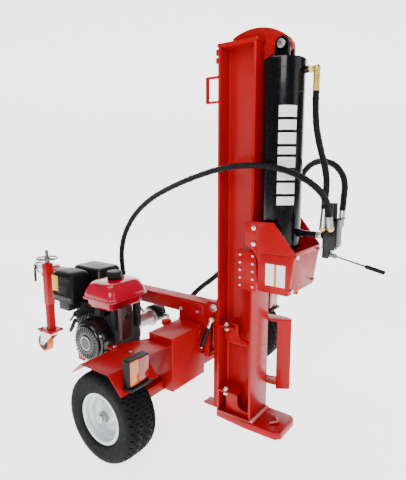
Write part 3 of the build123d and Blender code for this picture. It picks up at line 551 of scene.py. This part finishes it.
def wheel_rim(name, node, sign):
    """Pressed rim: rolled lips, drop centre, dished disc with stamped ribs, hub and cap."""
    bm = bmesh.new()
    out = sign
    centre = (WHEEL.x, sign * WHEEL.y, WHEEL.z)
    profile = [(0.1005, -0.0655), (0.112, -0.0665), (0.114, -0.0685), (0.112, -0.0692),
               (0.101, -0.0680), (0.0975, -0.062), (0.0965, -0.048), (0.086, -0.040),
               (0.082, -0.020), (0.070, -0.012), (0.052, -0.016), (0.040, -0.030),
               (0.028, -0.034), (0.0255, -0.046), (0.0255, -0.0535), (0.0135, -0.0538)]
    lathe(bm, [(r, -t) for r, t in profile], centre, (0, out, 0), 96)
    back = [(0.0975, -0.062), (0.0975, 0.062), (0.101, 0.0680), (0.112, 0.0692), (0.114, 0.0685),
            (0.112, 0.0665), (0.1005, 0.0655)]
    lathe(bm, [(r, -t) for r, t in back], centre, (0, out, 0), 96)
    hub = [(0.082, -0.018), (0.030, -0.012), (0.0255, -0.010), (0.0255, 0.039), (0.013, 0.039)]
    lathe(bm, [(r, -t) for r, t in hub], centre, (0, out, 0), 64)
    obj = make(name, bm, RIM, BODY_OF[node], smooth=32)
    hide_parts(node)
    bolts = bmesh.new()
    for k in range(4):
        a = math.radians(45 + 90 * k)
        spot = Vector(centre) + Vector((0.062 * math.cos(a), sign * 0.0145, 0.062 * math.sin(a)))
        hexagon(bolts, spot, (0, sign, 0), 0.013, 0.006)
    make(name + "_bolts", bolts, ZINC, BODY_OF[node], bevel=0.0004)


for side_name, sign in (("near", -1), ("far", 1)):
    tyre(side_name + "_tyre_turf", side_name + "_tyre", sign)
    wheel_rim(side_name + "_rim_pressed", side_name + "_rim", sign)
    cap = bmesh.new()
    spot = Vector((WHEEL.x, sign * 0.6585, WHEEL.z))
    lathe(cap, [(0.0262, -0.020), (0.0262, 0.0015), (0.0250, 0.0025), (0.0150, 0.0030), (0.0150, 0.011),
                (0.0125, 0.0135), (0.006, 0.0145), (0.0, 0.0146)], spot, (0, sign, 0), 32)
    make(side_name + "_hub_nut", cap, STEEL, "chassis", smooth=30)


# ------------------------------------------------------------------ engine
def recoil():
    """Starter cover: domed shell with louvres, a raised ring and a plain centre badge."""
    bm = bmesh.new()
    face = Vector((CRANK.x, -0.486, CRANK.z))
    lathe(bm, [(0.0, 0.0), (0.040, 0.0), (0.043, 0.002), (0.046, 0.0), (0.078, 0.0015),
               (0.088, 0.004), (0.093, 0.009), (0.095, 0.016), (0.104, 0.019), (0.110, 0.024),
               (0.112, 0.032), (0.112, 0.090), (0.104, 0.090), (0.104, 0.030)],
          face, (0, 1, 0), 96)
    shell = make("recoil_cover", bm, GLOSS, "chassis", smooth=36)
    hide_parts("recoil_housing")
    ribs = bmesh.new()
    for k in range(30):
        a = 2 * math.pi * k / 30
        turn = Matrix.Rotation(-a, 4, "Y")
        out = Vector((math.cos(a), 0, math.sin(a)))
        mid = face + out * 0.066 + Vector((0, 0.0012, 0))
        box(ribs, mid - Vector((0.012, 0.0022, 0.0022)), mid + Vector((0.012, 0.0022, 0.0022)), turn)
    for k in range(26):
        a = 2 * math.pi * k / 26
        turn = Matrix.Rotation(-a, 4, "Y")
        out = Vector((math.cos(a), 0, math.sin(a)))
        mid = face + out * 0.1115 + Vector((0, 0.058, 0))
        box(ribs, mid - Vector((0.0014, 0.020, 0.0045)), mid + Vector((0.0012, 0.020, 0.0045)), turn)
    make("recoil_louvres", ribs, PLASTIC, "chassis", bevel=0.0005)
    badge = bmesh.new()
    lathe(badge, [(0.0, -0.0022), (0.030, -0.0020), (0.031, 0.0), (0.031, 0.001)], face, (0, 1, 0), 48)
    make("recoil_badge", badge, GLOSS, "chassis", smooth=30)
    ring = bmesh.new()
    lathe(ring, [(0.0305, 0.0), (0.0305, -0.0030), (0.0335, -0.0034), (0.0350, 0.0), (0.035, 0.001)],
          face, (0, 1, 0), 64)
    make("recoil_badge_ring", ring, ALLOY, "chassis", smooth=30)
    dot = bmesh.new()
    lathe(dot, [(0.0, -0.0030), (0.006, -0.0028), (0.0066, -0.0020), (0.0066, 0.0)],
          face + Vector((0.012, 0, -0.008)), (0, 1, 0), 32)
    make("recoil_badge_dot", dot, LENS_RED, "chassis", smooth=30)
    screws = bmesh.new()
    for k in range(3):
        a = math.radians(30 + 120 * k)
        spot = face + Vector((0.103 * math.cos(a), 0.0195, 0.103 * math.sin(a)))
        hexagon(screws, spot, (0, -1, 0), 0.010, 0.004)
    make("recoil_screws", screws, ZINC, "chassis", bevel=0.0003)


def fuel_tank():
    """Pressed tank with its seam lip and sloping top, the filler neck and the cap's ribs."""
    bm = bmesh.new()
    middle = (-0.655, -0.3215)
    loft(bm, middle, [
        (0.5745, 0.084, 0.106, 0.030), (0.582, 0.090, 0.112, 0.032), (0.600, 0.093, 0.115, 0.032),
        (0.617, 0.096, 0.118, 0.034), (0.6185, 0.111, 0.1320, 0.036), (0.6225, 0.112, 0.1330, 0.036),
        (0.6275, 0.111, 0.1320, 0.036), (0.6290, 0.1050, 0.127, 0.034), (0.640, 0.104, 0.126, 0.030),
        (0.665, 0.098, 0.120, 0.034), (0.690, 0.083, 0.112, 0.040), (0.698, 0.080, 0.104, 0.046),
        (0.702, 0.072, 0.092, 0.050), (0.7042, 0.050, 0.070, 0.045), (0.7046, 0.020, 0.036, 0.019)])
    tank = make("fuel_tank_shell", bm, TANK_RED, "chassis", smooth=55)
    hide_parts("fuel_tank")
    neck = bmesh.new()
    lathe(neck, [(0.029, 0.0), (0.031, 0.004), (0.031, 0.010), (0.026, 0.011), (0.026, 0.003)],
          (-0.655, -0.322, 0.6985), (0, 0, 1), 48)
    make("fuel_neck", neck, PLASTIC, "chassis", smooth=30)
    grip = bmesh.new()
    for k in range(18):
        a = 2 * math.pi * k / 18
        mid = Vector((-0.655 + 0.0362 * math.cos(a), -0.322 + 0.0362 * math.sin(a), 0.7305))
        turn = Matrix.Rotation(a, 4, "Z")
        box(grip, mid - Vector((0.0008, 0.0024, 0.011)), mid + Vector((0.0008, 0.0024, 0.011)), turn)
    make("fuel_cap_ribs", grip, PLASTIC, "fuel_cap", bevel=0.0004)


def air_cleaner():
    """Moulded case with its split line, front ribs, clips and a plain panel."""
    bm = bmesh.new()
    middle = (-0.9235, -0.384)
    loft(bm, middle, [
        (0.5605, 0.076, 0.056, 0.014), (0.563, 0.082, 0.062, 0.016), (0.590, 0.084, 0.064, 0.017),
        (0.592, 0.087, 0.066, 0.018), (0.598, 0.087, 0.066, 0.018), (0.600, 0.085, 0.0645, 0.018),
        (0.692, 0.084, 0.0635, 0.020), (0.709, 0.080, 0.060, 0.022), (0.719, 0.072, 0.052, 0.024),
        (0.724, 0.058, 0.039, 0.022), (0.7248, 0.036, 0.020, 0.014)])
    case = make("air_cleaner_case", bm, PLASTIC, "chassis", smooth=50)
    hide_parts("air_cleaner")
    trim = bmesh.new()
    for k in range(5):
        z = 0.612 + k * 0.009
        box(trim, (-0.958, -0.4505, z), (-0.876, -0.447, z + 0.0035))
    for x in (-0.94, -0.894):
        box(trim, (x - 0.006, -0.4500, 0.586), (x + 0.006, -0.4460, 0.604))
    make("air_cleaner_ribs", trim, BLACK, "chassis", bevel=0.0006)
    label = bmesh.new()
    box(label, (-1.0005, -0.4492, 0.618), (-0.950, -0.4474, 0.700))
    make("air_cleaner_label", label, YELLOW, "chassis", bevel=0.0004)


def muffler():
    """Pressed heat shield with louvres and two bolts."""
    bm = bmesh.new()
    middle = (-0.900, -0.229)
    loft(bm, middle, [
        (0.6105, 0.104, 0.075, 0.014), (0.614, 0.108, 0.079, 0.016), (0.650, 0.109, 0.080, 0.018),
        (0.652, 0.1105, 0.081, 0.018), (0.657, 0.1105, 0.081, 0.018), (0.659, 0.109, 0.080, 0.018),
        (0.710, 0.108, 0.079, 0.020), (0.722, 0.102, 0.073, 0.022), (0.7275, 0.090, 0.061, 0.022)])
    can = make("muffler_shield", bm, BLACK, "chassis", smooth=45)
    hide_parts("muffler")
    slots = bmesh.new()
    for k in range(9):
        x = -0.972 + k * 0.018
        box(slots, (x - 0.0035, -0.3096, 0.620), (x + 0.0035, -0.3065, 0.646))
    for k in range(7):
        x = -0.954 + k * 0.018
        box(slots, (x - 0.0035, -0.268, 0.7255), (x + 0.0035, -0.200, 0.7278))
    make("muffler_louvres", slots, PLASTIC, "chassis", bevel=0.0006)
    bolts = bmesh.new()
    for x in (-0.955, -0.850):
        hexagon(bolts, (x, -0.185, 0.7250), (0, 0, 1), 0.012, 0.0028)
    make("muffler_bolts", bolts, ZINC, "chassis", bevel=0.0003)


recoil()
fuel_tank()
air_cleaner()
muffler()


# --------------------------------------------------------- beam's details
def barrel_patch(bm, turn0, turn1, z0, z1, lift=0.0006, steps=8):
    """Thin curved panel on the cylinder between two angles and two heights."""
    rows = []
    for z in (z0, z1):
        row = []
        for i in range(steps + 1):
            a = math.radians(turn0 + (turn1 - turn0) * i / steps)
            r = CYL_R + lift
            row.append(bm.verts.new((CYL.x + r * math.cos(a), r * math.sin(a), z)))
        rows.append(row)
    for i in range(steps):
        bm.faces.new((rows[0][i], rows[0][i + 1], rows[1][i + 1], rows[1][i]))


def cylinder_tube():
    """Honed tube with its end band, thin rings, ports and the two clevis ears."""
    low = float(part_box("cylinder_barrel")[0][2])
    profile = [(0.070, low), (CYL_R - 0.003, low), (CYL_R, low + 0.003)]
    for z in (1.014, 1.568):
        profile += [(CYL_R, z - 0.0006), (CYL_R + 0.0008, z), (CYL_R + 0.0008, z + 0.005),
                    (CYL_R, z + 0.0056)]
    profile += [(CYL_R, 1.6605), (CYL_R + 0.0025, 1.662), (CYL_R + 0.0025, TUBE_TOP - 0.003),
                (CYL_R - 0.0005, TUBE_TOP), (0.0, TUBE_TOP)]
    bm = bmesh.new()
    lathe(bm, profile, (CYL.x, CYL.y, 0), (0, 0, 1), 128)
    tube = make("cylinder_tube", bm, CYL_BLACK, "beam", smooth=40)
    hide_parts("cylinder_barrel")
    ears = bmesh.new()
    for sign in (-1, 1):
        inner, outer = sorted((sign * 0.015, sign * 0.033))
        box(ears, (CYL.x - 0.032, inner, TUBE_TOP - 0.002), (CYL.x + 0.032, outer, CLEVIS_Z))
        rod(ears, (CYL.x, inner, CLEVIS_Z), (CYL.x, outer, CLEVIS_Z), 0.032, 48)
    make("cylinder_ears", ears, CYL_BLACK, "beam", bevel=0.0014)
    ports = bmesh.new()
    for z, radius in ((1.655, 0.015), (0.973, 0.017)):
        rod(ports, (CYL.x + CYL_R - 0.003, 0, z), (0.199, 0, z), radius, 40)
    make("cylinder_ports", ports, CYL_BLACK, "beam", bevel=0.0012)


def cylinder_marks():
    """Row of plain white bars down the cylinder, where a decal would be."""
    bm = bmesh.new()
    z = 1.510
    for k, tall in enumerate((0.046, 0.040, 0.046, 0.030, 0.044, 0.040, 0.046, 0.036)):
        barrel_patch(bm, -76, -26, z - tall, z, steps=14)
        z -= tall + 0.012
    make("cylinder_stripe", bm, WHITE, "beam")


def guard_label():
    """Plain white panel with one amber stripe on each cheek of the guard."""
    for sign, side in ((-1, "near"), (1, "far")):
        y = sign * 0.1424
        for piece, x0, x1, lift, mat in (("label", 0.098, 0.190, 0.0, WHITE),
                                         ("label_stripe", 0.138, 0.150, 0.0003, AMBER)):
            outer = y + sign * lift
            inner = y - sign * 0.001
            panel = bmesh.new()
            box(panel, (x0, min(inner, outer), 0.755), (x1, max(inner, outer), 0.850))
            make(side + "_guard_" + piece, panel, mat, "beam")


cylinder_tube()
cylinder_marks()
guard_label()
bead("foot_weld_front", [(0.006, -0.086, 0.038), (0.006, 0.086, 0.038)], 0.010, "beam", PALE_WELD)
for name, points in (
        ("tooth_weld_far", [(0.086, 0.024, 0.043), (0.113, -0.008, 0.043)]),
        ("tooth_weld_near", [(0.086, -0.042, 0.043), (0.112, -0.010, 0.043)])):
    bead(name, points, 0.005, "beam", PALE_WELD)
bead("foot_weld_near", [(-0.19, -0.086, 0.037), (0.002, -0.086, 0.037)], 0.006, "beam")
bead("foot_weld_far", [(-0.19, 0.086, 0.037), (0.002, 0.086, 0.037)], 0.006, "beam")
for sign in (-1, 1):
    side = "near" if sign < 0 else "far"
    bead(side + "_cap_weld", [(-0.19, sign * 0.083, 1.781), (-0.002, sign * 0.083, 1.781)],
         0.003, "beam", RED)
    bead(side + "_lug_weld", [(-0.155, sign * 0.016, 1.797), (0.0, sign * 0.016, 1.797)],
         0.004, "beam", RED)
    bead(side + "_ear_weld", [(0.001, sign * 0.084, 0.918), (0.001, sign * 0.084, 1.017)],
         0.004, "beam", RED)
    bead(side + "_carriage_weld", [(0.028, sign * 0.025, 0.705), (0.028, sign * 0.025, 0.880)],
         0.003, "ram", RED)

# ------------------------------------------------------------ small pieces
def sleeves():
    """Black grip on the valve lever and on the lock pin's handle."""
    tilt = math.radians(12)
    pivot = Vector((0.312, 0, 0.896))
    along = Vector((math.cos(tilt), 0, -math.sin(tilt)))
    bm = bmesh.new()
    start = pivot + along * 0.166
    turn = 14
    profile = [(0.0042, 0.0), (0.0078, 0.001)]
    for k in range(turn):
        t = 0.003 + k * 0.0052
        profile += [(0.0086, t), (0.0086, t + 0.0030), (0.0080, t + 0.0036), (0.0080, t + 0.0048)]
    profile += [(0.0086, 0.0775), (0.0070, 0.0788), (0.0, 0.0790)]
    lathe(bm, profile, start, along, 32)
    make("valve_lever_grip", bm, PLASTIC, "valve_lever", smooth=30)
    bm = bmesh.new()
    a, b = Vector((-0.240, -0.090, 0.470)), Vector((-0.2862, -0.090, 0.3515))
    along = (b - a).normalized()
    lathe(bm, [(0.0082, 0.0), (0.0108, 0.002), (0.0108, 0.118), (0.0095, 0.1268), (0.0, 0.1272)],
          a, along, 32)
    make("lock_pin_sleeve", bm, PLASTIC, "lock_pin", smooth=30)


def wire(name, points, radius, mat, body):
    """Thin cable through a few points, rounded at its corners."""
    path = spline_points([tuple(c * 1000 for c in p) for p in points])
    bm = bmesh.new()
    rings = []
    for i, p in enumerate(path):
        ahead = path[min(i + 1, len(path) - 1)] - path[max(i - 1, 0)]
        turn = ahead.to_track_quat("Z", "Y")
        rings.append([bm.verts.new(p + turn @ Vector((radius * math.cos(k * math.pi / 4),
                                                      radius * math.sin(k * math.pi / 4), 0)))
                      for k in range(8)])
    for low, high in zip(rings, rings[1:]):
        for k in range(8):
            bm.faces.new((low[k], low[(k + 1) % 8], high[(k + 1) % 8], high[k]))
    return make(name, bm, mat, body, smooth=60)


sleeves()


# --------------------------------------------------------- floor and light
def studio():
    """Glowing white paper sweep under and behind the object, and three soft lamps."""
    paper = surface("studio_paper", (0.86, 0.86, 0.86), rough=0.9, vary=0.01, scuff=0.0, bump=0.02)
    shader = nodes_of(paper)[2]
    shader.inputs["Emission Color"].default_value = (1, 1, 1, 1)
    shader.inputs["Emission Strength"].default_value = PAPER_GLOW
    bm = bmesh.new()
    reach, bend = 4.5, 3.0
    profile = [(-6.0, 0.0), (reach, 0.0)]
    for k in range(1, 13):
        a = math.radians(90 * k / 12)
        profile.append((reach + bend * math.sin(a), bend * (1 - math.cos(a))))
    profile.append((reach + bend, 9.0))
    turn = Matrix.Rotation(math.radians(36.2), 4, "Z")
    rows = [[bm.verts.new(turn @ Vector((x, y, z))) for x in (-11.0, 11.0)] for y, z in profile]
    for low, high in zip(rows, rows[1:]):
        bm.faces.new((low[0], low[1], high[1], high[0]))
    sweep = make("studio_sweep", bm, paper, None, smooth=60)
    sweep.location.z = -PAPER_DROP
    world = bpy.data.worlds.new("studio_sky")
    bpy.context.scene.world = world
    world.use_nodes = True
    sky = world.node_tree.nodes["Background"]
    sky.inputs["Color"].default_value = (1, 1, 1, 1)
    sky.inputs["Strength"].default_value = 0.18
    for name, place, aim, power, size in (
            ("key_light", (1.6, -4.0, 3.4), (-0.3, 0, 0.8), 200, 2.2),
            ("side_light", (3.6, 0.6, 2.4), (0.0, 0, 0.9), 40, 2.4),
            ("top_light", (-0.6, -0.4, 4.4), (-0.4, 0, 0.5), 70, 2.2)):
        data = bpy.data.lights.new(name, "AREA")
        data.energy = power
        data.size = size
        lamp = bpy.data.objects.new(name, data)
        lamp.location = place
        lamp.rotation_euler = (Vector(aim) - Vector(place)).to_track_quat("-Z", "Y").to_euler()
        bpy.context.scene.collection.objects.link(lamp)


def small_marks():
    """The tail light's wire and the brake pedal's ribs."""
    wire("light_wire", [(-0.392, -0.556, 0.336), (-0.372, -0.535, 0.330), (-0.350, -0.500, 0.345),
                        (-0.330, -0.470, 0.400), (-0.322, -0.440, 0.420)], 0.0028, PLASTIC, "chassis")
    ribs = bmesh.new()
    for k in range(4):
        x = -1.612 - 0.010 * k
        z = 0.1405 + 0.0024 * k
        box(ribs, (x - 0.0016, -0.136, z), (x + 0.0016, -0.096, z + 0.0050))
    make("pedal_ribs", ribs, PLASTIC, "caster_pedal", bevel=0.0004)


def camera():
    """Camera in front of the near wheel, turned towards the middle of the object."""
    data = bpy.data.cameras.new("front_camera")
    data.lens = 32.6
    data.sensor_width = 36.0
    view = bpy.data.objects.new("front_camera", data)
    view.location = (0.9584, -1.7722, 1.2701)
    view.rotation_euler = (math.radians(80.14), math.radians(0.12), math.radians(36.20))
    bpy.context.scene.collection.objects.link(view)
    bpy.context.scene.camera = view


small_marks()
studio()
camera()
